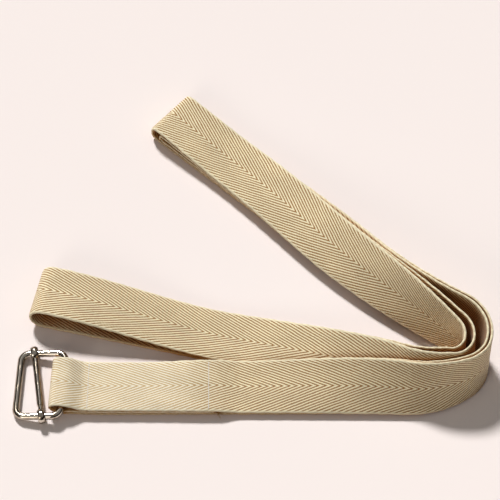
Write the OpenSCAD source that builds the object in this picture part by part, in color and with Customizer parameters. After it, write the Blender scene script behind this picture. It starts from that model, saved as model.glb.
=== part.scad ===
// Gait belt: a long webbing strap with a ring buckle sewn to one end.
// The strap is folded in half twice, to four layers, and laid in a V.
// Both arms of the V lie flat at their far ends, and the strap stands on edge round the bend.

/* [Webbing] */
// Width of the webbing
webbing_w = 38; // [30:1:50]
// Thickness of the webbing
webbing_t = 2.15; // [1.6:0.05:2.6]
// Air between layers that lie on each other
layer_air = 0.3; // [0.2:0.05:0.8]

/* [V shape in plan] */
// Heading of the upper arm as it leaves its folded end, in degrees
upper_heading = -41.92; // [-60:1:-25]
// Straight part of the upper arm
upper_run = 175.5; // [150:0.5:260]
// Part of the upper arm that bows outwards before the bend
bow_run = 86.7; // [40:0.5:110]
// How far the bowed part turns outwards, in degrees
bow_turn = 25.4; // [0:0.1:30]
// Radius of the outer pair of layers at the bend, at the foot of the strap
outer_bend_r = 27.6; // [20:0.5:45]
// Radius at which the outer pair straightens out after the bend
outer_exit_r = 69.5; // [40:0.5:90]
// How much of the outer pair's turn is in that wider curve, in degrees
outer_exit_turn = 38.8; // [0:1:60]
// Straight part of the lower arm of the outer pair
lower_run = 236.9; // [200:0.5:340]
// How far before the bow the inner pair leaves the outer pair
leave_before = 36.8; // [10:0.5:60]
// Length over which the inner pair bows outwards
inner_bow_run = 130.2; // [80:0.5:150]
// How far the inner pair's bow turns outwards, in degrees
inner_bow_turn = 19.08; // [0:0.1:24]
// Radius of the inner pair of layers at the bend, at the foot of the strap
inner_bend_r = 17.55; // [12:0.2:24]
// Radius at which the inner pair straightens out after the bend
inner_exit_r = 61.2; // [30:0.5:90]
// How much of the inner pair's turn is in that wider curve, in degrees
inner_exit_turn = 43.6; // [0:1:60]
// Straight part of the lower arm of the inner pair
inner_lower_run = 243.2; // [180:0.5:320]
// Angle between the two pairs in the lower arm, in degrees
pair_angle = 13.29; // [8:0.1:20]

/* [Twist] */
// Tilt of the outer pair at the middle of the bend, where 90 is upright
outer_lean = 90.9; // [75:1:95]
// Tilt of the inner pair at the middle of the bend, where 90 is upright
inner_lean = 98.9; // [85:0.1:115]

/* [Buckle] */
// Diameter of the frame's wire
wire_d = 4.8; // [3.5:0.1:6]
// Clear width of the frame beyond the webbing
frame_play = 6.2; // [3:0.1:8]
// Distance between the centres of the frame's two cross bars
frame_len = 30.6; // [26:0.1:45]
// Radius of the frame's corners, at the centre of the wire
corner_r = 6.1; // [5:0.1:8]
// Diameter of the slide bar's shaft
shaft_d = 4.4; // [3:0.1:5]
// Diameter of the slide bar's neck
neck_d = 3.2; // [2.4:0.1:4]
// Outer diameter of the slide bar's eyes
eye_d = 10; // [9.4:0.1:12]
// Width of an eye along its rail
eye_w = 4.7; // [3:0.1:6]
// Radial clearance between an eye and its rail
eye_gap = 0.9; // [0.6:0.05:1.1]
// How far the slide bar stands askew across the frame, in degrees
bar_skew = 10.5; // [0:0.5:12]

/* [Stitching] */
// Diameter of the sewing thread
thread_d = 0.6; // [0.4:0.05:0.8]
// Length of one stitch
stitch_len = 3.4; // [2.5:0.1:5]
// Distance from the buckle's bar to the first seam
first_seam_at = 21.2; // [14:0.1:30]
// Distance between the two seams of the sewn end
seam_gap = 82.2; // [40:1:110]
// Webbing that stands past a seam at its cut end
end_margin = 4; // [3:0.5:8]

/* [Hidden] */

// Tessellation: step lengths along straight, bowed and bent stretches
coarse_step = 8;
medium_step = 5;
fine_step = 2.5;
fold_sides = 12;

// Stack of layers
pitch = webbing_t + layer_air;
half_stack = (pitch + webbing_t) / 2;

// Twist along the arms, as power laws that start where the arm is still flat
upper_power = 1.73;
outer_twist_run = 180.6;
outer_twist_power = 1.59;
inner_twist_run = 234.4;
inner_twist_power = 2.24;

// The outer pair is propped up where the inner pair slides under it
prop_tilt = asin((2 * webbing_t + 2 * layer_air) / webbing_w);
prop_at = 194;
prop_ramp = 52.8;

// Air between the layers of each pair at the bend, and the length that it fades over
outer_pair_air = 0.49;
inner_pair_air = 4.38;
pair_air_run = 80;
between_pairs_air = 6.9;
between_pairs_run = 90;

// Open ends
middle_fold_lift = 15.4;
middle_fold_from = 175;
far_fold_lift = 4;
far_fold_run = 60;
inner_fold_back = 5;
far_fold_dent = 0.16;

// Buckle end
end_turn_run = 40;
end_turn = -3.4;
bar_play = 0.35;
bar_back = 3.7;
loop_r = wire_d / 2 + bar_play + webbing_t / 2;
loop_ramp = first_seam_at - 2;
loop_open = bar_back + 1;
tail_end_ramp = 18;
tip_back = 5;
tail_len = first_seam_at + seam_gap + end_margin;

// Stitching
thread_sink = 0.08;
lock_gap = thread_d / 2 + 0.02;
thread_sides = 8;
stitch_samples = 8;
seam_inset = 1.6;
tip_seam_at = tip_back + end_margin;

// Buckle
frame_half = (webbing_w + frame_play + wire_d) / 2;
eye_r = eye_d / 2;
eye_bore_r = wire_d / 2 + eye_gap;
bar_half = frame_half / cos(bar_skew);
bar_from_left = corner_r + eye_w / 2 + 5;
bar_from_right = frame_len - bar_from_left;
bar_lift = webbing_t + layer_air + webbing_t / 2 + loop_r;
frame_tilt = asin((bar_lift - eye_r) / bar_from_right);
neck_len = 5;
shaft_end = bar_half - eye_bore_r + 0.4;
neck_end = neck_len + eye_bore_r - bar_half;
eye_rim = 0.6;

function clamped(x) = min(max(x, 0), 1);
function smooth(x) = let(c = clamped(x)) c * c * (3 - 2 * c);
function unit(v) = v / norm(v);
function bell(x) = exp(-x * x);

// ---- Routes in plan: a place is [x, y, heading, distance] ----

function advance(here, step) =
    let(mid = here[2] + step[1] / 2)
    [
        here[0] + step[0] * cos(mid),
        here[1] + step[0] * sin(mid),
        here[2] + step[1],
        here[3] + step[0]
    ];

// Each run is [length, turn, step length]
function steps(runs) = [
    for (run = runs)
        let(count = ceil(run[0] / run[2]))
            for (k = [1 : count]) [run[0] / count, run[1] / count]
];

function route(start, todo) = [
    for (i = 0, here = start; i <= len(todo); here = i < len(todo) ? advance(here, todo[i]) : here, i = i + 1)
        here
];

function arc_len(radius, turn) = radius * turn * PI / 180;

// Outer pair, from the far fold to the buckle's bar
outer_turn = 180 + upper_heading + bow_turn;
outer_tight_arc = arc_len(outer_bend_r, outer_turn - outer_exit_turn);
outer_wide_arc = arc_len(outer_exit_r, outer_exit_turn);
outer_route = route(
    [0, 0, upper_heading, 0],
    steps([
        [inner_fold_back, 0, coarse_step],
        [upper_run - leave_before - inner_fold_back, 0, coarse_step],
        [leave_before, 0, coarse_step],
        [bow_run, bow_turn, medium_step],
        [outer_tight_arc, outer_exit_turn - outer_turn, fine_step],
        [outer_wide_arc, -outer_exit_turn, fine_step],
        [lower_run - tail_len, 0, coarse_step],
        [tail_len - end_turn_run, 0, coarse_step],
        [end_turn_run - loop_ramp, end_turn * (1 - loop_ramp / end_turn_run), medium_step],
        [loop_ramp - tip_back, end_turn * (loop_ramp - tip_back) / end_turn_run, 1.8],
        [tip_back, end_turn * tip_back / end_turn_run, 1.8]
    ])
);
outer_mid = upper_run + bow_run + arc_len(outer_bend_r, outer_turn) / 2;
outer_end = upper_run + bow_run + outer_tight_arc + outer_wide_arc + lower_run;

function outer_tilt(s) =
    s <= outer_mid
        ? outer_lean * pow(clamped(s / outer_mid), upper_power)
        : 180
            - (180 - outer_lean - prop_tilt)
                * pow(clamped((outer_mid + outer_twist_run - s) / outer_twist_run), outer_twist_power)
            - prop_tilt * smooth((outer_mid + prop_at + prop_ramp - s) / prop_ramp);

// Inner pair: beside the outer pair along the upper arm, then round its own bend
leave_at = upper_run - leave_before;
function inner_offset(s) =
    2 * pitch + between_pairs_air * smooth((s - leave_at + between_pairs_run) / between_pairs_run);
function beside(place) =
    let(inward = inner_offset(place[3]) * sin(outer_tilt(place[3])))
    [
        place[0] + inward * sin(place[2]),
        place[1] - inward * cos(place[2]),
        place[2],
        place[3]
    ];
inner_start = [for (place = outer_route) if (place[3] <= leave_at + 0.01) beside(place)];
last = len(inner_start) - 1;
leave_step = inner_start[last] - inner_start[last - 1];
leave_heading = atan2(leave_step[1], leave_step[0]);
inner_turn = 180 + pair_angle + leave_heading + inner_bow_turn;
inner_tight_arc = arc_len(inner_bend_r, inner_turn - inner_exit_turn);
inner_wide_arc = arc_len(inner_exit_r, inner_exit_turn);
inner_rest = route(
    [inner_start[last][0], inner_start[last][1], leave_heading, inner_start[last][3]],
    steps([
        [inner_bow_run, inner_bow_turn, medium_step],
        [inner_tight_arc, inner_exit_turn - inner_turn, fine_step],
        [inner_wide_arc, -inner_exit_turn, fine_step],
        [inner_lower_run, 0, coarse_step]
    ])
);
inner_leave = inner_start[last][3];
inner_mid = inner_leave + inner_bow_run + arc_len(inner_bend_r, inner_turn) / 2;
inner_end = inner_leave + inner_bow_run + inner_tight_arc + inner_wide_arc + inner_lower_run;
inner_route = [
    for (i = [0 : last + len(inner_rest) - 1])
        i <= last ? inner_start[i] : inner_rest[i - last]
];

function inner_tilt(s) =
    s <= inner_leave
        ? outer_tilt(s)
        : s <= inner_mid
            ? let(
                run = inner_mid - inner_leave,
                v = (s - inner_leave) / run,
                from = outer_tilt(inner_leave),
                slope_in = (from - outer_tilt(inner_leave - coarse_step)) / coarse_step,
                slope_out = (180 - inner_lean) * inner_twist_power / inner_twist_run
            )
            (2 * pow(v, 3) - 3 * pow(v, 2) + 1) * from
                + (pow(v, 3) - 2 * pow(v, 2) + v) * run * slope_in
                + (3 * pow(v, 2) - 2 * pow(v, 3)) * inner_lean
                + (pow(v, 3) - pow(v, 2)) * run * slope_out
            : 180
                - (180 - inner_lean)
                    * pow(clamped((inner_mid + inner_twist_run - s) / inner_twist_run), inner_twist_power);

// ---- Stations along a pair of layers: [foot, across, outward, distance, air] ----

function station(place, heading, tilt, lift, air) =
    let(out = [-sin(heading), cos(heading), 0], up = [0, 0, 1])
    [
        [place[0], place[1], lift],
        cos(tilt) * out + sin(tilt) * up,
        sin(tilt) * out - cos(tilt) * up,
        place[3],
        air
    ];

outer_pair = [
    for (place = outer_route)
        let(
            s = place[3],
            tilt = outer_tilt(s),
            air = outer_pair_air * bell((s - outer_mid) / pair_air_run)
        )
        station(place, place[2], tilt, (half_stack + air / 2) * abs(cos(tilt)), air)
];

function heading_along(places, i) =
    let(
        a = places[max(i - 1, 0)],
        b = places[min(i + 1, len(places) - 1)]
    )
    atan2(b[1] - a[1], b[0] - a[0]);

inner_pair = [
    for (i = [0 : len(inner_route) - 1])
        let(
            place = inner_route[i],
            s = place[3],
            tilt = inner_tilt(s),
            air = inner_pair_air * bell((s - inner_mid) / pair_air_run),
            lift = (half_stack + air / 2) * abs(cos(tilt)) + 2 * pitch * max(cos(tilt), 0)
        )
        station(place, heading_along(inner_route, i), tilt, lift, air)
];

// ---- Layers: [foot, across, distance] ----

function layer(at, offset, lift) = [at[0] + offset * at[2] + [0, 0, lift], at[1], at[3]];
function far_lift(s) = far_fold_lift * smooth((far_fold_run - s) / far_fold_run);
function reversed(list) = [for (i = [len(list) - 1 : -1 : 0]) list[i]];

// Offset of the sewn layer: it rests on the tail, then rises to go over the buckle's bar
function sewn_offset(at) =
    pitch / 2 + at[4] / 2
        + pitch * smooth((at[3] - outer_end + tail_len + tail_end_ramp) / tail_end_ramp)
        + (2 * loop_r - pitch) * smooth((at[3] - outer_end + loop_ramp) / (loop_ramp - loop_open));
function tail_offset(at) = pitch / 2 + at[4] / 2;
function tip_offset(at) = -pitch / 2 - at[4] / 2;

tail_layer = [
    for (at = outer_pair)
        if (at[3] >= outer_end - tail_len - 0.01) layer(at, tail_offset(at), 0)
];
sewn_layer = [for (at = outer_pair) layer(at, sewn_offset(at), 0)];
tip_layer = [
    for (at = outer_pair)
        if (at[3] >= inner_fold_back - 0.01 && at[3] <= outer_end - tip_back + 0.01)
            layer(at, tip_offset(at), 0.2 * far_lift(at[3]))
];
top_layer = [
    for (at = inner_pair) layer(at, -pitch / 2 - at[4] / 2, far_lift(at[3]))
];
third_layer = [
    for (at = inner_pair)
        if (at[3] >= inner_fold_back - 0.01)
            layer(
                at,
                pitch / 2 + at[4] / 2,
                0.8 * far_lift(at[3])
                    + middle_fold_lift
                        * smooth((at[3] - inner_mid - middle_fold_from) / (inner_end - inner_mid - middle_fold_from))
            )
];

// A fold from one foot point to the next, bulging along reach; dent flattens its middle
function fold(from, to, across, reach, dent) =
    let(centre = (from + to) / 2, arm = from - centre)
    [
        for (k = [1 : fold_sides - 1])
            let(turn = 180 * k / fold_sides)
            [
                centre + arm * cos(turn)
                    + reach * norm(arm) * sin(turn) * (1 - dent * bell((turn - 90) / 28)),
                across
            ]
    ];

function along(a, b) = unit([b[0] - a[0], b[1] - a[1], 0]);
far_out = along(outer_route[1], outer_route[0]);
buckle_out = along(outer_route[len(outer_route) - 2], outer_route[len(outer_route) - 1]);
middle_out = along(inner_route[len(inner_route) - 2], inner_route[len(inner_route) - 1]);

function first(list) = list[0];
function final(list) = list[len(list) - 1];

// The whole strap from the tail to the tip; each stretch is [stations, runs towards the far fold]
stretches = [
    [tail_layer, false],
    [fold(final(tail_layer)[0], final(sewn_layer)[0], final(tail_layer)[1], buckle_out, 0), false],
    [reversed(sewn_layer), true],
    [fold(first(sewn_layer)[0], first(top_layer)[0], first(top_layer)[1], far_out, far_fold_dent), false],
    [top_layer, false],
    [fold(final(top_layer)[0], final(third_layer)[0], final(top_layer)[1], middle_out, 0), false],
    [reversed(third_layer), true],
    [fold(first(third_layer)[0], first(tip_layer)[0], first(tip_layer)[1], far_out, 0), false],
    [tip_layer, false]
];
strap = [for (stretch = stretches) for (at = stretch[0]) [at[0], at[1], stretch[1]]];

function middle(i) = strap[i][0] + strap[i][1] * webbing_w / 2;
function thickness_dir(i) =
    unit(cross(middle(min(i + 1, len(strap) - 1)) - middle(max(i - 1, 0)), strap[i][1]));

// Four corners of the strap's section at each station
strap_points = [
    for (i = [0 : len(strap) - 1])
        let(
            foot = strap[i][0],
            head = foot + strap[i][1] * webbing_w,
            half = thickness_dir(i) * webbing_t / 2
        )
        each [foot - half, head - half, head + half, foot + half]
];

// Both triangles of a side patch; the diagonal is swapped where the strap runs back
function patch(a, b, c, d, swap) = swap ? [[a, b, d], [b, c, d]] : [[a, b, c], [a, c, d]];
strap_faces = concat(
    [[0, 1, 2, 3]],
    [
        for (i = [0 : len(strap) - 2])
            for (k = [0 : 3])
                let(n = (k + 1) % 4)
                each patch(4 * i + k, 4 * i + 4 + k, 4 * i + 4 + n, 4 * i + n, strap[i][2] != (k > 1))
    ],
    [[for (k = [3 : -1 : 0]) 4 * (len(strap) - 1) + k]]
);

// ---- Where the buckle sits, and the shift that centres the object over its origin ----

loop_at = final(outer_pair);
bar_heading = final(outer_route)[2] + 180;
bar_centre =
    loop_at[0] + loop_at[1] * webbing_w / 2 + loop_at[2] * (tail_offset(loop_at) + loop_r)
        + bar_back * [cos(bar_heading), sin(bar_heading), 0];

// Left corners of the frame, as plan points
function frame_corner(side) =
    let(
        along_x = (corner_r - frame_len) * cos(frame_tilt),
        across_y = side * (frame_half - corner_r)
    )
    [
        bar_centre[0] + along_x * cos(bar_heading) - across_y * sin(bar_heading),
        bar_centre[1] + along_x * sin(bar_heading) + across_y * cos(bar_heading)
    ];
frame_reach = corner_r + wire_d / 2;
all_x = concat(
    [for (p = strap_points) p[0]],
    [for (side = [-1, 1]) frame_corner(side)[0] - frame_reach]
);
all_y = concat(
    [for (p = strap_points) p[1]],
    [for (side = [-1, 1]) frame_corner(side)[1] + side * frame_reach]
);
centre_shift = [-(min(all_x) + max(all_x)) / 2, -(min(all_y) + max(all_y)) / 2, 0];

// ---- Sub-parts ----

module webbing()
    color("wheat")
        translate(centre_shift)
            polyhedron(strap_points, strap_faces, convexity = 10);

module in_buckle_frame()
    translate(centre_shift + bar_centre)
        rotate([0, 0, bar_heading])
            rotate([0, -frame_tilt, 0])
                children();

module cross_bar(x)
    translate([x, corner_r - frame_half, 0])
        rotate([-90, 0, 0])
            cylinder(h = 2 * (frame_half - corner_r), d = wire_d, $fn = 48);

module rail(y)
    translate([corner_r - frame_len, y, 0])
        rotate([0, 90, 0])
            cylinder(h = frame_len - 2 * corner_r, d = wire_d, $fn = 48);

module corner(x, y, turn)
    translate([x, y, 0])
        rotate([0, 0, turn])
            rotate_extrude(angle = 90, $fn = 64)
                translate([corner_r, 0])
                    circle(d = wire_d, $fn = 48);

module buckle_frame()
    color("silver")
        in_buckle_frame() {
            cross_bar(0);
            cross_bar(-frame_len);
            rail(frame_half);
            rail(-frame_half);
            corner(-corner_r, frame_half - corner_r, 0);
            corner(corner_r - frame_len, frame_half - corner_r, 90);
            corner(corner_r - frame_len, corner_r - frame_half, 180);
            corner(-corner_r, corner_r - frame_half, 270);
        }

// Ring about the X axis, round one rail, with a crowned outside
module eye()
    rotate([0, 90, 0])
        rotate_extrude($fn = 64)
            polygon([
                [eye_bore_r, -eye_w / 2],
                for (a = [-90 : 18 : 90])
                    [eye_r - (eye_r - eye_bore_r - eye_rim) * (1 - cos(a)), eye_w / 2 * sin(a)],
                [eye_bore_r, eye_w / 2]
            ]);

module shaft_piece(from, to, d)
    translate([0, from, 0])
        rotate([-90, 0, 0])
            cylinder(h = to - from, d = d, $fn = 40);

// The neck is at the -Y end, and the shaft's two ends are sunk into the eyes
module slide_bar()
    color("silver")
        in_buckle_frame()
            translate([-bar_from_right, 0, 0])
                rotate([0, 0, bar_skew]) {
                    difference() {
                        union() {
                            shaft_piece(neck_end, shaft_end, shaft_d);
                            shaft_piece(-shaft_end, neck_end, neck_d);
                        }
                        for (side = [-1, 1])
                            translate([-eye_w, side * bar_half, 0])
                                rotate([0, 90, 0])
                                    cylinder(h = 2 * eye_w, r = eye_bore_r + 0.2, $fn = 64);
                    }
                    for (side = [-1, 1])
                        translate([0, side * bar_half, 0])
                            eye();
                }

// A thread along one seam, as points that dip between the layers at every stitch
function thread_path(at, from, to) =
    let(
        sewn = webbing_w - 2 * seam_inset,
        count = floor(sewn / stitch_len) * stitch_samples
    )
    [
        for (i = [0 : count])
            let(rise = min(1, 3.2 * sin(180 * (i % stitch_samples) / stitch_samples)))
            at[0] + at[1] * (seam_inset + sewn * i / count) + at[2] * (from + (to - from) * rise)
    ];

// A round tube along a path that stays in the plane at right angles to side
module tube(path, side)
    polyhedron(
        [
            for (i = [0 : len(path) - 1])
                let(
                    along_path = unit(path[min(i + 1, len(path) - 1)] - path[max(i - 1, 0)]),
                    up = cross(along_path, side)
                )
                for (k = [0 : thread_sides - 1])
                    let(turn = 360 * (k + 0.5) / thread_sides)
                    path[i] + thread_d / 2 * (cos(turn) * side + sin(turn) * up)
        ],
        concat(
            [[for (k = [0 : thread_sides - 1]) k]],
            [
                for (i = [0 : len(path) - 2])
                    for (k = [0 : thread_sides - 1])
                        let(n = (k + 1) % thread_sides, a = i * thread_sides)
                        each [
                            [a + k, a + thread_sides + k, a + thread_sides + n],
                            [a + k, a + thread_sides + n, a + n]
                        ]
            ],
            [[for (k = [thread_sides - 1 : -1 : 0]) (len(path) - 1) * thread_sides + k]]
        ),
        convexity = 10
    );

// Station of a seam, at its distance before the loop round the buckle's bar
function seam_station(before) =
    let(
        s = outer_end - before,
        i = max([for (k = [0 : len(outer_pair) - 2]) if (outer_pair[k][3] <= s) k]),
        a = outer_pair[i],
        b = outer_pair[i + 1],
        part = (s - a[3]) / (b[3] - a[3])
    )
    [for (k = [0 : 4]) a[k] + (b[k] - a[k]) * part];

module seam_thread(before, from, to)
    let(at = seam_station(before))
        color("white")
            translate(centre_shift)
                tube(thread_path(at, from, to), unit(cross(at[1], at[2])));

function face_depth(offset, side) = offset + side * (webbing_t / 2 - thread_sink);

module sewn_needle_thread(before)
    let(at = seam_station(before))
        seam_thread(before, tail_offset(at) + pitch / 2 + lock_gap, face_depth(sewn_offset(at), 1));

module sewn_bobbin_thread(before)
    let(at = seam_station(before))
        seam_thread(before, tail_offset(at) + pitch / 2 - lock_gap, face_depth(tail_offset(at), -1));

module bar_seam_needle_thread() sewn_needle_thread(first_seam_at);
module bar_seam_bobbin_thread() sewn_bobbin_thread(first_seam_at);
module tail_seam_needle_thread() sewn_needle_thread(first_seam_at + seam_gap);
module tail_seam_bobbin_thread() sewn_bobbin_thread(first_seam_at + seam_gap);

module tip_hem_needle_thread()
    let(at = seam_station(tip_seam_at))
        seam_thread(tip_seam_at, tip_offset(at) + lock_gap, face_depth(tip_offset(at), 1));

module tip_hem_bobbin_thread()
    let(at = seam_station(tip_seam_at))
        seam_thread(tip_seam_at, tip_offset(at) - lock_gap, face_depth(tip_offset(at), -1));

webbing();
buckle_frame();
slide_bar();
bar_seam_needle_thread();
bar_seam_bobbin_thread();
tail_seam_needle_thread();
tail_seam_bobbin_thread();
tip_hem_needle_thread();
tip_hem_bobbin_thread();
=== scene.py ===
import math

import bpy
import numpy as np
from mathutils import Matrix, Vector


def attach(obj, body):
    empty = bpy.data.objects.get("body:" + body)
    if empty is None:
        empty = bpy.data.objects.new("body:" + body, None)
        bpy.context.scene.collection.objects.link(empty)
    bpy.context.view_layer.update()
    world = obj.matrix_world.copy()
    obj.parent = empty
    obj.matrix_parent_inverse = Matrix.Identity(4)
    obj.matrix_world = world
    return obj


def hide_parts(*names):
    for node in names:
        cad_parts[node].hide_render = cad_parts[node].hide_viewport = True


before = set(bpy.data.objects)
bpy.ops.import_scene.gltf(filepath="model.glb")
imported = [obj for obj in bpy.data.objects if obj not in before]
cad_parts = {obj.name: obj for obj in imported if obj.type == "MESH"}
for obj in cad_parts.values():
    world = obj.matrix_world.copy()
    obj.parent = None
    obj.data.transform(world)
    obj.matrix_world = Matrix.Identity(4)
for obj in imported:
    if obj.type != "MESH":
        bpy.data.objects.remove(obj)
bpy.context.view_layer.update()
scene = bpy.context.scene
mm = 0.001
print("frame loaded")

# Sizes in millimetres and degrees, the same as the CAD model's
strap = {
    "width": 38, "thick": 2.15, "air": 0.3,
    "start": (-67.841, 97.932), "heading": -41.92,
    "upperRun": 175.5, "bowRun": 86.7, "bowTurn": 25.4, "outerBendR": 27.6, "lowerRun": 236.9,
    "leaveBefore": 36.8, "innerBowRun": 130.2, "innerBowTurn": 19.08, "innerBendR": 17.55,
    "innerLowerRun": 243.2, "pairAngle": 13.29,
    "outerExitR": 69.5, "outerExitTurn": 38.8, "innerExitR": 61.2, "innerExitTurn": 43.6,
    "outerLean": 90.9, "innerLean": 98.9, "upperPower": 1.73,
    "outerTwistRun": 180.6, "outerTwistPower": 1.59, "innerTwistRun": 234.4, "innerTwistPower": 2.24,
    "propAt": 194, "propRamp": 52.8,
    "outerPairAir": 0.49, "innerPairAir": 4.38, "pairAirRun": 80,
    "betweenAir": 6.9, "betweenRun": 90,
    "middleFoldLift": 15.4, "middleFoldFrom": 175, "farFoldLift": 4, "farFoldRun": 60,
    "innerFoldBack": 5, "farFoldDent": 0.16,
    "endTurnRun": 40, "endTurn": -3.4, "tipBack": 5,
    "seamAt": 21.2, "seamGap": 82.2, "endMargin": 4, "loopR": 3.825, "loopOpen": 4.7,
    "tailRamp": 18, "step": 0.5, "leaveStep": 7.865, "slopeStep": 8,
    "foldSteps": 42, "dentWidth": 28, "tipLift": 0.2, "thirdLift": 0.8, "headingReach": 5,
}
pitch = strap["thick"] + strap["air"]
halfStack = (pitch + strap["thick"]) / 2


def smoothed(x):
    # 0 below 0, 1 above 1, and an S curve between
    x = np.clip(x, 0, 1)
    return x * x * (3 - 2 * x)


def bell(x):
    return np.exp(-x * x)


def unitRows(v):
    return v / np.linalg.norm(v, axis=1)[:, None]


def routeOf(start, heading, runs):
    # Plan route: the heading turns evenly along each run, and the place is the running sum of the direction
    lengths = np.array([r[0] for r in runs], float)
    edges = np.concatenate([[0], np.cumsum(lengths)])
    turns = heading + np.concatenate([[0], np.cumsum([r[1] for r in runs])])
    s = np.unique(np.concatenate([np.arange(0, edges[-1], strap["step"]), edges]))
    h = np.interp(s, edges, turns)
    mid = np.radians((h[1:] + h[:-1]) / 2)
    ds = np.diff(s)
    x = start[0] + np.concatenate([[0], np.cumsum(ds * np.cos(mid))])
    y = start[1] + np.concatenate([[0], np.cumsum(ds * np.sin(mid))])
    return s, np.column_stack([x, y]), h


def stationFrames(heading, tilt):
    # Across the strap, and out of its face: both turn about its foot as the tilt goes from flat to flat
    h, q = np.radians(heading), np.radians(tilt)
    out = np.column_stack([-np.sin(h), np.cos(h), 0 * h])
    up = np.array([[0.0, 0.0, 1.0]])
    across = np.cos(q)[:, None] * out + np.sin(q)[:, None] * up
    normal = np.sin(q)[:, None] * out - np.cos(q)[:, None] * up
    return across, normal


def outerTilt(s, mid):
    # Flat, upright at the bend, flat again: a power law on each side, with a small prop over the inner pair
    prop = math.degrees(math.asin(2 * pitch / strap["width"]))
    lean, run = strap["outerLean"], strap["outerTwistRun"]
    rising = lean * np.clip(s / mid, 0, 1) ** strap["upperPower"]
    falling = 180 - (180 - lean - prop) * np.clip((mid + run - s) / run, 0, 1) ** strap["outerTwistPower"]
    falling = falling - prop * smoothed((mid + strap["propAt"] + strap["propRamp"] - s) / strap["propRamp"])
    return np.where(s <= mid, rising, falling)


def buildPairs():
    c = strap
    turn = 180 + c["heading"] + c["bowTurn"]
    tight = turn - c["outerExitTurn"]
    s, place, heading = routeOf(c["start"], c["heading"], [
        (c["upperRun"], 0), (c["bowRun"], c["bowTurn"]),
        (math.radians(tight) * c["outerBendR"], -tight),
        (math.radians(c["outerExitTurn"]) * c["outerExitR"], -c["outerExitTurn"]),
        (c["lowerRun"] - c["endTurnRun"], 0), (c["endTurnRun"], c["endTurn"])])
    mid = c["upperRun"] + c["bowRun"] + math.radians(turn) * c["outerBendR"] / 2
    tilt = outerTilt(s, mid)
    air = c["outerPairAir"] * bell((s - mid) / c["pairAirRun"])
    across, normal = stationFrames(heading, tilt)
    lift = (halfStack + air / 2) * np.abs(np.cos(np.radians(tilt)))
    outer = {"s": s, "mid": mid, "end": s[-1], "foot": np.column_stack([place, lift]),
             "across": across, "normal": normal, "air": air}

    # The inner pair lies beside the outer pair, then goes round a tighter bend of its own
    leaveAt = c["upperRun"] - c["leaveBefore"]
    keep = s <= leaveAt + 1e-6
    sIn = s[keep]
    offset = 2 * pitch + c["betweenAir"] * smoothed((sIn - leaveAt + c["betweenRun"]) / c["betweenRun"])
    inward = offset * np.sin(np.radians(tilt[keep]))
    h = np.radians(heading[keep])
    beside = place[keep] + inward[:, None] * np.column_stack([np.sin(h), -np.cos(h)])
    before = np.array([np.interp(leaveAt - c["leaveStep"], sIn, beside[:, k]) for k in (0, 1)])
    step = beside[-1] - before
    leaveHeading = math.degrees(math.atan2(step[1], step[0]))
    turnIn = 180 + c["pairAngle"] + leaveHeading + c["innerBowTurn"]
    tightIn = turnIn - c["innerExitTurn"]
    s2, place2, _ = routeOf(beside[-1], leaveHeading, [
        (c["innerBowRun"], c["innerBowTurn"]), (math.radians(tightIn) * c["innerBendR"], -tightIn),
        (math.radians(c["innerExitTurn"]) * c["innerExitR"], -c["innerExitTurn"]), (c["innerLowerRun"], 0)])
    sIn = np.concatenate([sIn, leaveAt + s2[1:]])
    placeIn = np.vstack([beside, place2[1:]])
    reach = c["headingReach"]
    ahead = np.minimum(np.arange(len(sIn)) + reach, len(sIn) - 1)
    behind = np.maximum(np.arange(len(sIn)) - reach, 0)
    chord = placeIn[ahead] - placeIn[behind]
    headingIn = np.degrees(np.unwrap(np.arctan2(chord[:, 1], chord[:, 0])))
    midIn = leaveAt + c["innerBowRun"] + math.radians(turnIn) * c["innerBendR"] / 2

    # Tilt: as the outer pair up to where it leaves, a cubic to the bend, and a power law after it
    fromTilt = float(outerTilt(np.array([leaveAt]), mid)[0])
    earlier = np.array([leaveAt - c["slopeStep"]], float)
    slopeIn = (fromTilt - float(outerTilt(earlier, mid)[0])) / c["slopeStep"]
    slopeOut = (180 - c["innerLean"]) * c["innerTwistPower"] / c["innerTwistRun"]
    run = midIn - leaveAt
    v = np.clip((sIn - leaveAt) / run, 0, 1)
    cubic = ((2 * v**3 - 3 * v**2 + 1) * fromTilt + (v**3 - 2 * v**2 + v) * run * slopeIn
             + (3 * v**2 - 2 * v**3) * c["innerLean"] + (v**3 - v**2) * run * slopeOut)
    left = np.clip((midIn + c["innerTwistRun"] - sIn) / c["innerTwistRun"], 0, 1)
    after = 180 - (180 - c["innerLean"]) * left ** c["innerTwistPower"]
    tiltIn = np.where(sIn <= leaveAt, outerTilt(sIn, mid), np.where(sIn <= midIn, cubic, after))
    airIn = c["innerPairAir"] * bell((sIn - midIn) / c["pairAirRun"])
    acrossIn, normalIn = stationFrames(headingIn, tiltIn)
    cosTilt = np.cos(np.radians(tiltIn))
    liftIn = (halfStack + airIn / 2) * np.abs(cosTilt) + 2 * pitch * np.maximum(cosTilt, 0)
    inner = {"s": sIn, "mid": midIn, "end": sIn[-1], "foot": np.column_stack([placeIn, liftIn]),
             "across": acrossIn, "normal": normalIn, "air": airIn}
    return outer, inner


def layerOf(pair, offset, lift, keep):
    # One layer of a pair: its foot line moved out along the face, and up
    foot = pair["foot"] + pair["normal"] * np.asarray(offset)[:, None]
    foot[:, 2] += lift
    return foot[keep], pair["across"][keep]


def foldOf(a, b, across, reach, dent):
    # Half a circle from one layer's end to the next one's, pressed in at its middle
    t = np.linspace(0, 180, strap["foldSteps"])[1:-1]
    centre, arm = (a + b) / 2, (a - b) / 2
    bulge = np.linalg.norm(arm) * np.sin(np.radians(t)) * (1 - dent * bell((t - 90) / strap["dentWidth"]))
    foot = centre + np.cos(np.radians(t))[:, None] * arm + bulge[:, None] * reach
    return foot, np.repeat(across[None, :], len(t), axis=0)


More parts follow.
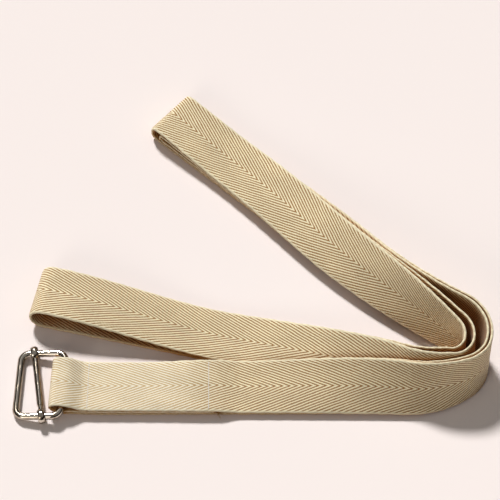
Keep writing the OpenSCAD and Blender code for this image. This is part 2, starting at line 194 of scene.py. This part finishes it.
def outward(pair, i, j):
    # Level direction from one station towards another
    d = (pair["foot"][j] - pair["foot"][i]) * [1, 1, 0]
    return d / np.linalg.norm(d)


def farLift(s):
    # The folded far end stands a little off the layers below it
    return strap["farFoldLift"] * smoothed((strap["farFoldRun"] - s) / strap["farFoldRun"])


def reversedLayer(layer):
    return layer[0][::-1], layer[1][::-1]


def buildStrapLine():
    # The four layers, the sewn tail and the folds between them, joined end to end into one line
    c = strap
    outer, inner = buildPairs()
    s, end = outer["s"], outer["end"]
    half = pitch / 2 + outer["air"] / 2
    tailLen = c["seamAt"] + c["seamGap"] + c["endMargin"]
    loopRamp = c["seamAt"] - 2
    sewn = (half + pitch * smoothed((s - end + tailLen + c["tailRamp"]) / c["tailRamp"])
            + (2 * c["loopR"] - pitch) * smoothed((s - end + loopRamp) / (loopRamp - c["loopOpen"])))
    everywhere = s > -1
    tail = layerOf(outer, half, 0, s >= end - tailLen)
    top = layerOf(outer, sewn, 0, everywhere)
    underTail = (s >= c["innerFoldBack"]) & (s <= end - c["tipBack"])
    tip = layerOf(outer, -half, c["tipLift"] * farLift(s), underTail)
    sIn = inner["s"]
    halfIn = pitch / 2 + inner["air"] / 2
    fourth = layerOf(inner, -halfIn, farLift(sIn), sIn > -1)
    openFrom = inner["mid"] + c["middleFoldFrom"]
    openUp = c["middleFoldLift"] * smoothed((sIn - openFrom) / (inner["end"] - openFrom))
    third = layerOf(inner, halfIn, c["thirdLift"] * farLift(sIn) + openUp, sIn >= c["innerFoldBack"])
    farOut = outward(outer, 4, 0)
    buckleOut = outward(outer, -4, -1)
    middleOut = outward(inner, -4, -1)
    parts = [
        tail, foldOf(tail[0][-1], top[0][-1], tail[1][-1], buckleOut, 0),
        reversedLayer(top), foldOf(top[0][0], fourth[0][0], fourth[1][0], farOut, c["farFoldDent"]),
        fourth, foldOf(fourth[0][-1], third[0][-1], fourth[1][-1], middleOut, 0),
        reversedLayer(third), foldOf(third[0][0], tip[0][0], tip[1][0], farOut, 0),
        tip]
    foot = np.vstack([p[0] for p in parts])
    across = np.vstack([p[1] for p in parts])
    centre = foot + across * c["width"] / 2
    along = np.concatenate([[0], np.cumsum(np.linalg.norm(np.diff(centre, axis=0), axis=1))])
    # Distances along the strap of its landmarks
    counts = np.cumsum([len(p[0]) for p in parts])
    marks = {"loop": along[counts[0]], "topStart": along[counts[1]], "length": along[-1]}
    return foot, across, along, marks


# How finely the strap is cut into stations, in millimetres; stepBend is radians for each step
spacing = {
    "grid": 0.25, "smoothOver": 9, "stepBend": 0.12, "shortest": 0.3, "longest": 2.2,
    "seamReach": 1.6, "seamStep": 0.4,
}


def columnsAt(u, along, values):
    # Each column of values, read off at the distances u
    return np.column_stack([np.interp(u, along, values[:, k]) for k in range(values.shape[1])])


def resample(foot, across, along, marks):
    # Steps shorten where the strap curves, and beside each seam
    gap = spacing["grid"]
    grid = np.arange(0, along[-1], gap)
    line = columnsAt(grid, along, foot + across * strap["width"] / 2)
    tangent = unitRows(np.gradient(line, axis=0))
    bendRate = np.linalg.norm(np.gradient(tangent, axis=0), axis=1) / gap
    window = np.ones(spacing["smoothOver"]) / spacing["smoothOver"]
    bendRate = np.convolve(bendRate, window, mode="same")
    step = np.clip(spacing["stepBend"] / (bendRate + 1e-6), spacing["shortest"], spacing["longest"])
    for seam in marks["seams"]:
        beside = np.abs(grid - seam) < spacing["seamReach"]
        step = np.where(beside, np.minimum(step, spacing["seamStep"]), step)
    count = np.concatenate([[0], np.cumsum(gap / step)])[:-1]
    u = np.interp(np.linspace(0, count[-1], int(count[-1])), count, grid)
    u[-1] = along[-1]
    return u, columnsAt(u, along, foot), unitRows(columnsAt(u, along, across))


cloth = {
    "edgeRound": 26,          # higher is a squarer edge
    "scallop": 0.13, "scallopPitch": 2.7,
    "grooveAt": 1.7, "grooveDepth": 0.09,
    "wave": 0.09, "waveSeed": 7,
    "pucker": 0.20, "puckerWidth": 0.75, "holeShare": 0.45,
    "grooveWidth": 0.45, "edgeWidth": 0.7, "waveSize": 22,
    "pressedPast": 25, "pressedFade": 60,
    "stitch": 3.48, "seamInset": 1.6,
}


fray = {"count": 46, "splayed": 9, "radius": 0.2, "seed": 4, "rings": 7, "sides": 5,
        "root": 0.6, "thinning": 0.45, "lowest": 0.3}


def softNoise(x, y, seed, scale):
    # Sum of a few slow sine waves in random directions
    rng = np.random.default_rng(seed)
    total = 0
    for _ in range(7):
        a, b, p = rng.normal(0, 1 / scale, 2).tolist() + [rng.uniform(0, 6.28)]
        total = total + np.sin(x * a + y * b * 2 + p)
    return total / 4


def webbingMesh():
    width, thick = strap["width"], strap["thick"]
    foot, across, along, marks = buildStrapLine()
    firstSeam = strap["seamAt"]
    lastSeam = strap["seamAt"] + strap["seamGap"]
    marks["seams"] = [marks["loop"] - firstSeam, marks["loop"] - lastSeam,
                      marks["topStart"] + firstSeam, marks["topStart"] + lastSeam,
                      marks["length"] - strap["endMargin"]]
    u, foot, across = resample(foot, across, along, marks)
    centre = foot + across * width / 2
    tangent = unitRows(np.gradient(centre, u, axis=0))
    normal = unitRows(np.cross(tangent, across))

    # Section: places across the width, close together at both selvages
    edge = np.array([0, 0.04, 0.16, 0.36, 0.7, 1.15, 1.7, 2.3, 3.2])
    inside = np.linspace(4.8, width - 4.8, 15)
    v = np.concatenate([edge, inside, width - edge[::-1]])
    a = np.abs(2 * v / width - 1)
    half = thick / 2 * np.sqrt(np.clip(1 - a ** cloth["edgeRound"], 0, 1))
    fromEdge = np.minimum(v, width - v)
    half = half - cloth["grooveDepth"] * bell((fromEdge - cloth["grooveAt"]) / cloth["grooveWidth"])

    # The surface is station + across * v + normal * height, round both faces in one closed ring
    ringV = np.concatenate([v, v[-2:0:-1]])
    ringH = np.concatenate([-half, half[-2:0:-1]])
    uu, vv = np.meshgrid(u, ringV, indexing="ij")
    hh = np.repeat(ringH[None, :], len(u), axis=0)
    edgeWeight = bell(np.minimum(vv, width - vv) / cloth["edgeWidth"]) * np.sign(vv - width / 2)
    vShift = edgeWeight * cloth["scallop"] * (np.sin(uu * 2 * np.pi / cloth["scallopPitch"])
                                              + 0.8 * softNoise(uu, 0 * uu, 3, 9))
    wave = cloth["wave"] * softNoise(uu, vv, cloth["waveSeed"], cloth["waveSize"])
    lifted = hh + wave
    # Each seam pulls the cloth in, most of all at the stitch holes
    for seam in marks["seams"]:
        share = cloth["holeShare"]
        hole = 1 - share + share * np.cos(2 * np.pi * (vv - cloth["seamInset"]) / cloth["stitch"])
        lifted = lifted - np.sign(hh) * cloth["pucker"] * hole * bell((uu - seam) / cloth["puckerWidth"])
    points = (foot[:, None, :] + across[:, None, :] * (vv + vShift)[:, :, None]
              + normal[:, None, :] * lifted[:, :, None])
    nU, nR = uu.shape
    ids = np.arange(nU * nR).reshape(nU, nR)
    nxt = np.roll(ids, -1, axis=1)
    quads = np.stack([ids[:-1], ids[1:], nxt[1:], nxt[:-1]], axis=-1).reshape(-1, 4)
    # End caps: strips between the two faces of the section
    nV = len(v)
    caps = []
    for row, flip in ((0, False), (nU - 1, True)):
        lower = ids[row, :nV]
        upper = np.concatenate([[ids[row, 0]], ids[row, :nV - 1:-1], [ids[row, nV - 1]]])
        cap = np.stack([lower[:-1], lower[1:], upper[1:], upper[:-1]], axis=-1)
        caps.append(cap[:, ::-1] if flip else cap)
    faces = quads.tolist() + np.vstack(caps).tolist()
    places = np.column_stack([uu.ravel(), vv.ravel(), np.zeros(uu.size)])
    points = points.reshape(-1, 3) * mm
    loose, looseFaces, loosePlaces = frayedYarns(foot[0], across[0], normal[0], -tangent[0])
    faces += [tuple(k + len(points) for k in face) for face in looseFaces]
    return np.vstack([points, loose]), faces, np.vstack([places, loosePlaces]), marks


def frayedYarns(base, across, normal, away):
    # Loose yarns at the raw end of the tail, most of them lying flat, a few splayed past the near selvage
    rng = np.random.default_rng(fray["seed"])
    points, faces, places = [], [], []
    rings, sides = fray["rings"], fray["sides"]
    turn = np.linspace(0, 2 * np.pi, sides + 1)[:-1]
    for i in range(fray["count"]):
        near = i < fray["splayed"]
        v = rng.uniform(0.1, 1.4) if near else rng.uniform(1.0, strap["width"] - 0.6)
        h = rng.uniform(-0.7, 0.7)
        long = rng.uniform(2.2, 4.6) if near else rng.uniform(0.8, 3.4)
        lean = rng.uniform(-1.3, -0.5) if near else rng.uniform(-0.3, 0.3)
        curl = rng.uniform(-0.5, 0.5)
        start = base + across * v + normal * h - away * fray["root"]
        for t in np.linspace(0, 1, rings):
            middle = start + away * (long + fray["root"]) * t + across * (lean * long * t * t)
            middle = middle + normal * (curl * np.sin(3 * t))
            middle[2] = max(middle[2], fray["lowest"])
            radius = fray["radius"] * (1 - fray["thinning"] * t)
            ring = radius * (np.cos(turn)[:, None] * across + np.sin(turn)[:, None] * normal)
            points.append(middle + ring)
            places += [(0.0, v, 0.0)] * sides
        first = i * rings * sides
        for k in range(rings - 1):
            for j in range(sides):
                a = first + k * sides + j
                b = first + k * sides + (j + 1) % sides
                faces.append((a, b, b + sides, a + sides))
        faces.append(tuple(first + (rings - 1) * sides + j for j in range(sides)))
    return np.vstack(points) * mm, faces, np.array(places)


def addMesh(name, points, faces):
    mesh = bpy.data.meshes.new(name)
    mesh.from_pydata(points.tolist(), [], [tuple(dict.fromkeys(f)) for f in faces])
    mesh.update()
    mesh.polygons.foreach_set("use_smooth", np.ones(len(mesh.polygons), bool))
    obj = bpy.data.objects.new(name, mesh)
    scene.collection.objects.link(obj)
    return obj


points, faces, place, marks = webbingMesh()
webbing = addMesh("webbing_cloth", points, faces)
# How much the weave is pressed smooth: most between the buckle and the second seam
sewnLength = marks["topStart"] + strap["seamAt"] + strap["seamGap"]
place[:, 2] = smoothed((sewnLength + cloth["pressedPast"] - place[:, 0]) / cloth["pressedFade"])
attribute = webbing.data.attributes.new("strapPlace", "FLOAT_VECTOR", "POINT")
attribute.data.foreach_set("vector", place.ravel())
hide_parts("webbing")
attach(webbing, "strap")
print("webbing", len(points), "points, length", round(marks["length"]), "mm")


def newMaterial(name):
    material = bpy.data.materials.new(name)
    material.use_nodes = True
    nodes, links = material.node_tree.nodes, material.node_tree.links
    return material, nodes, links, nodes["Principled BSDF"]


class Graph:
    # Short forms for adding maths, mix and noise nodes to one material
    def __init__(self, nodes, links):
        self.nodes, self.links = nodes, links

    def put(self, socket, value):
        if hasattr(value, "is_output"):
            self.links.new(value, socket)
        else:
            socket.default_value = value

    def math(self, operation, a, b=0.0, c=0.0):
        node = self.nodes.new("ShaderNodeMath")
        node.operation = operation
        for socket, value in zip(node.inputs, (a, b, c)):
            self.put(socket, value)
        return node.outputs[0]

    def mix(self, factor, a, b):
        node = self.nodes.new("ShaderNodeMix")
        node.data_type = "RGBA"
        self.put(node.inputs[0], factor)
        self.put(node.inputs[6], a)
        self.put(node.inputs[7], b)
        return node.outputs[2]

    def noise(self, vector, scale, detail=2.0, rough=0.5):
        node = self.nodes.new("ShaderNodeTexNoise")
        self.put(node.inputs["Vector"], vector)
        node.inputs["Scale"].default_value = scale
        node.inputs["Detail"].default_value = detail
        node.inputs["Roughness"].default_value = rough
        return node.outputs["Fac"]

    def vector(self, x, y, z=0.0):
        node = self.nodes.new("ShaderNodeCombineXYZ")
        for socket, value in zip(node.inputs, (x, y, z)):
            self.put(socket, value)
        return node.outputs[0]

    def ramp(self, value, low, high):
        node = self.nodes.new("ShaderNodeMapRange")
        node.interpolation_type = "SMOOTHSTEP"
        self.put(node.inputs[0], value)
        node.inputs[1].default_value, node.inputs[2].default_value = low, high
        return node.outputs[0]


twill = {
    # The groove colours are partly painted shade: the rib pattern is the weave, but its dark brown stands in
    # for the shade in the grooves
    "crest": (0.89, 0.80, 0.55, 1), "groove": (0.30, 0.135, 0.025, 1), "sewnCrest": (0.86, 0.82, 0.68, 1),
    "sewnGroove": (0.60, 0.40, 0.15, 1),
    # The hollow colour is painted shade, multiplied into the cloth where it lies in hollows between layers
    "selvage": (0.84, 0.77, 0.55, 1), "fleck": (0.16, 0.085, 0.03, 1), "hollowShade": (0.56, 0.29, 0.08, 1),
    "ribPitch": 4.9, "ribSlope": 2.6, "grooveShare": 0.62,
    "yarnPitch": 0.68, "bump": 0.55, "bumpDepth": 0.00022,
}


def twillMaterial():
    material, nodes, links, shader = newMaterial("herringbone_twill")
    g = Graph(nodes, links)
    source = nodes.new("ShaderNodeAttribute")
    source.attribute_name = "strapPlace"
    split = nodes.new("ShaderNodeSeparateXYZ")
    links.new(source.outputs["Vector"], split.inputs[0])
    u, v, pressed = split.outputs
    fromMiddle = g.math("ABSOLUTE", g.math("SUBTRACT", v, strap["width"] / 2))
    # Slanting ribs that meet in a point at mid-width: phase is distance along plus slope times distance out
    drift = g.noise(g.vector(g.math("MULTIPLY", u, 0.05), g.math("MULTIPLY", v, 0.16)), 1.0, 3.0)
    phase = g.math("MULTIPLY_ADD", fromMiddle, twill["ribSlope"] / twill["ribPitch"],
                   g.math("MULTIPLY", u, 1 / twill["ribPitch"]))
    phase = g.math("MULTIPLY_ADD", drift, 0.55, phase)
    rib = g.math("MULTIPLY_ADD", g.math("SINE", g.math("MULTIPLY", phase, 2 * math.pi)), 0.5, 0.5)
    # Warp yarns run along the strap, so each rib is broken into short floats
    yarnPhase = g.math("MULTIPLY", v, 2 * math.pi / twill["yarnPitch"])
    yarn = g.math("MULTIPLY_ADD", g.math("SINE", yarnPhase), 0.5, 0.5)
    fuzz = g.noise(g.vector(g.math("MULTIPLY", u, 1.1), g.math("MULTIPLY", v, 2.6)), 1.0, 4.0, 0.65)
    blotch = g.noise(g.vector(g.math("MULTIPLY", u, 0.035), g.math("MULTIPLY", v, 0.07)), 1.0, 2.0)
    height = g.math("MULTIPLY_ADD", yarn, 0.16, g.math("MULTIPLY", rib, 0.84))
    height = g.math("MULTIPLY_ADD", g.math("SUBTRACT", fuzz, 0.5), 1.1, height)
    line = g.ramp(height, 0.12, 0.12 + twill["grooveShare"])
    # The ribs fade in the selvages, and where the cloth is pressed smooth
    selvage = g.ramp(fromMiddle, strap["width"] / 2 - 1.7, strap["width"] / 2 - 1.0)
    smoothCloth = g.math("MULTIPLY", pressed, 0.15)
    fade = g.math("MAXIMUM", g.math("MULTIPLY", selvage, 0.6), smoothCloth)
    line = g.math("MAXIMUM", line, fade)
    crest = g.mix(g.math("MULTIPLY", pressed, 0.8), twill["crest"], twill["sewnCrest"])
    groove = g.mix(g.math("MULTIPLY", pressed, 0.75), twill["groove"], twill["sewnGroove"])
    # Painted shade in the weave: ribs get the crest colour, and the grooves between them get a dark brown for
    # their shade
    base = g.mix(line, groove, crest)
    base = g.mix(g.math("MULTIPLY", selvage, 0.6), base, twill["selvage"])
    tone = g.math("MULTIPLY_ADD", g.math("SUBTRACT", blotch, 0.5), 0.35, 1.0)
    tone = g.math("MULTIPLY_ADD", g.math("SUBTRACT", fuzz, 0.5), 0.30, tone)
    toned = nodes.new("ShaderNodeVectorMath")
    toned.operation = "SCALE"
    links.new(base, toned.inputs[0])
    links.new(tone, toned.inputs["Scale"])
    # Bits of seed coat left in the cotton: small dark flecks, far apart
    fleckNoise = g.noise(g.vector(g.math("MULTIPLY", u, 0.55), g.math("MULTIPLY", v, 1.3), 4.0), 1.0, 1.0)
    fleck = g.math("MULTIPLY", g.ramp(fleckNoise, 0.745, 0.80), 0.75)
    colour = g.mix(fleck, toned.outputs[0], twill["fleck"])
    # Painted shade: the base colour is made darker and warmer in the hollows between layers, standing in for
    # shade and for light bounced from cloth to cloth
    hollowShade = nodes.new("ShaderNodeAmbientOcclusion")
    hollowShade.samples = 8
    hollowShade.inputs["Distance"].default_value = 0.022
    deep = g.math("MULTIPLY", g.ramp(g.math("SUBTRACT", 1.0, hollowShade.outputs["AO"]), 0.16, 0.6), 0.95)
    warm = nodes.new("ShaderNodeMix")
    warm.data_type, warm.blend_type = "RGBA", "MULTIPLY"
    links.new(deep, warm.inputs[0])
    links.new(colour, warm.inputs[6])
    warm.inputs[7].default_value = twill["hollowShade"]
    colour = warm.outputs[2]
    links.new(colour, shader.inputs["Base Color"])
    rough = g.math("MULTIPLY_ADD", fuzz, 0.12, 0.80)
    links.new(rough, shader.inputs["Roughness"])
    shader.inputs["Sheen Weight"].default_value = 0.12
    shader.inputs["Sheen Roughness"].default_value = 0.5
    shader.inputs["Specular IOR Level"].default_value = 0.25
    bump = nodes.new("ShaderNodeBump")
    bump.inputs["Strength"].default_value = twill["bump"]
    bump.inputs["Distance"].default_value = twill["bumpDepth"]
    links.new(height, bump.inputs["Height"])
    links.new(bump.outputs[0], shader.inputs["Normal"])
    return material


plate = {"colour": (0.62, 0.56, 0.48, 1), "warm": (0.42, 0.34, 0.25, 1), "rough": 0.07,
         "edge": (0.18, 0.14, 0.11, 1)}


def plateMaterial():
    # Polished plate over drawn wire: a faint fine grain, soft stains, and a few duller patches
    material, nodes, links, shader = newMaterial("polished_nickel")
    g = Graph(nodes, links)
    where = nodes.new("ShaderNodeTexCoord").outputs["Object"]
    stain = g.noise(where, 140.0, 4.0)
    fine = g.noise(where, 1900.0, 3.0, 0.7)
    links.new(g.mix(g.ramp(stain, 0.45, 0.75), plate["colour"], plate["warm"]), shader.inputs["Base Color"])
    shader.inputs["Metallic"].default_value = 1.0
    shader.inputs["Specular Tint"].default_value = plate["edge"]
    rough = g.math("MULTIPLY_ADD", g.ramp(stain, 0.40, 0.8), 0.12, plate["rough"])
    links.new(g.math("MULTIPLY_ADD", fine, 0.06, rough), shader.inputs["Roughness"])
    bump = nodes.new("ShaderNodeBump")
    bump.inputs["Strength"].default_value = 0.08
    bump.inputs["Distance"].default_value = 0.00005
    links.new(fine, bump.inputs["Height"])
    links.new(bump.outputs[0], shader.inputs["Normal"])
    return material


yarn = {"dark": (0.62, 0.60, 0.54, 1), "light": (0.90, 0.89, 0.85, 1), "twistPitch": 0.00045}


def threadMaterial():
    # Spun white thread: fine slanting twist lines and a little fuzz
    material, nodes, links, shader = newMaterial("sewing_thread")
    g = Graph(nodes, links)
    where = nodes.new("ShaderNodeTexCoord").outputs["Object"]
    split = nodes.new("ShaderNodeSeparateXYZ")
    links.new(where, split.inputs[0])
    slant = g.math("MULTIPLY_ADD", split.outputs[0], 0.8, split.outputs[1])
    turns = g.math("MULTIPLY", slant, 2 * math.pi / yarn["twistPitch"])
    twist = g.math("MULTIPLY_ADD", g.math("SINE", turns), 0.5, 0.5)
    fuzz = g.noise(where, 2600.0, 2.0)
    shade = g.math("MULTIPLY_ADD", fuzz, 0.3, g.math("MULTIPLY", twist, 0.7))
    links.new(g.mix(shade, yarn["dark"], yarn["light"]), shader.inputs["Base Color"])
    shader.inputs["Roughness"].default_value = 0.6
    shader.inputs["Sheen Weight"].default_value = 0.1
    bump = nodes.new("ShaderNodeBump")
    bump.inputs["Strength"].default_value = 0.5
    bump.inputs["Distance"].default_value = 0.00008
    links.new(twist, bump.inputs["Height"])
    links.new(bump.outputs[0], shader.inputs["Normal"])
    return material


def paint(obj, material):
    if obj.material_slots:
        for s in obj.material_slots:
            s.link = "OBJECT"
            s.material = material
    else:
        obj.data.materials.append(material)


paint(webbing, twillMaterial())
nickel, cotton = plateMaterial(), threadMaterial()
for name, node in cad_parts.items():
    if name.endswith("thread"):
        paint(node, cotton)
    elif name != "webbing":
        paint(node, nickel)
print("materials done")


studio = {
    "floor": (0.93, 0.855, 0.83, 1), "floorSize": 6.0,
    "wallColour": (0.035, 0.024, 0.014, 1), "ceilingColour": (1.0, 0.97, 0.95, 1), "ceiling": 0.26,
    "ceilingFrom": 0.55, "ceilingTo": 0.82,
}


def addFloor():
    # A level sheet of pale paper under the belt
    size = studio["floorSize"]
    corners = np.array([[-size, -size, 0], [size, -size, 0], [size, size, 0], [-size, size, 0]])
    floor = addMesh("studio_floor", corners, [(0, 1, 2, 3)])
    material, nodes, links, shader = newMaterial("floor_paper")
    shader.inputs["Base Color"].default_value = studio["floor"]
    shader.inputs["Roughness"].default_value = 0.9
    shader.inputs["Specular IOR Level"].default_value = 0.1
    floor.data.materials.append(material)


def addArea(name, location, size, power, colour):
    light = bpy.data.lights.new(name, "AREA")
    light.shape, light.size, light.energy, light.color = "DISK", size, power, colour
    obj = bpy.data.objects.new(name, light)
    obj.location = location
    obj.rotation_euler = Vector(location).to_track_quat("Z", "Y").to_euler()
    scene.collection.objects.link(obj)


def addSun(name, away, angle, strength, colour):
    light = bpy.data.lights.new(name, "SUN")
    light.angle, light.energy, light.color = math.radians(angle), strength, colour
    obj = bpy.data.objects.new(name, light)
    obj.rotation_euler = Vector(away).to_track_quat("Z", "Y").to_euler()
    scene.collection.objects.link(obj)


addFloor()
addSun("key", away=(-0.26, 0.72, 0.76), angle=9, strength=3.6, colour=(1.0, 0.985, 0.975))
addArea("fill", location=(-3.4, -5.4, 3.4), size=3.0, power=90, colour=(1.0, 0.93, 0.84))


def addWorld():
    # A pale ceiling over darker walls, so that the metal has something to reflect
    world = bpy.data.worlds.new("studio")
    scene.world = world
    world.use_nodes = True
    nodes, links = world.node_tree.nodes, world.node_tree.links
    g = Graph(nodes, links)
    split = nodes.new("ShaderNodeSeparateXYZ")
    links.new(nodes.new("ShaderNodeTexCoord").outputs["Generated"], split.inputs[0])
    high = g.ramp(split.outputs[2], studio["ceilingFrom"], studio["ceilingTo"])
    background = nodes["Background"]
    links.new(g.mix(high, studio["wallColour"], studio["ceilingColour"]), background.inputs["Color"])
    background.inputs["Strength"].default_value = studio["ceiling"]


addWorld()
scene.view_settings.view_transform = "Standard"

view = {"elevation": 58, "distance": 2.4, "target": (-0.00192, 0.00706, 0), "widthSeen": 0.3475, "sensor": 36}
camera = bpy.data.cameras.new("camera")
cameraObject = bpy.data.objects.new("camera", camera)
scene.collection.objects.link(cameraObject)
lift = math.radians(view["elevation"])
away = Vector((0, -math.cos(lift), math.sin(lift)))
cameraObject.location = Vector(view["target"]) + away * view["distance"]
cameraObject.rotation_mode = "QUATERNION"
cameraObject.rotation_quaternion = (-away).to_track_quat("-Z", "Y")
camera.sensor_width = view["sensor"]
camera.lens = view["sensor"] * view["distance"] / view["widthSeen"]
scene.camera = cameraObject
print("stage done")
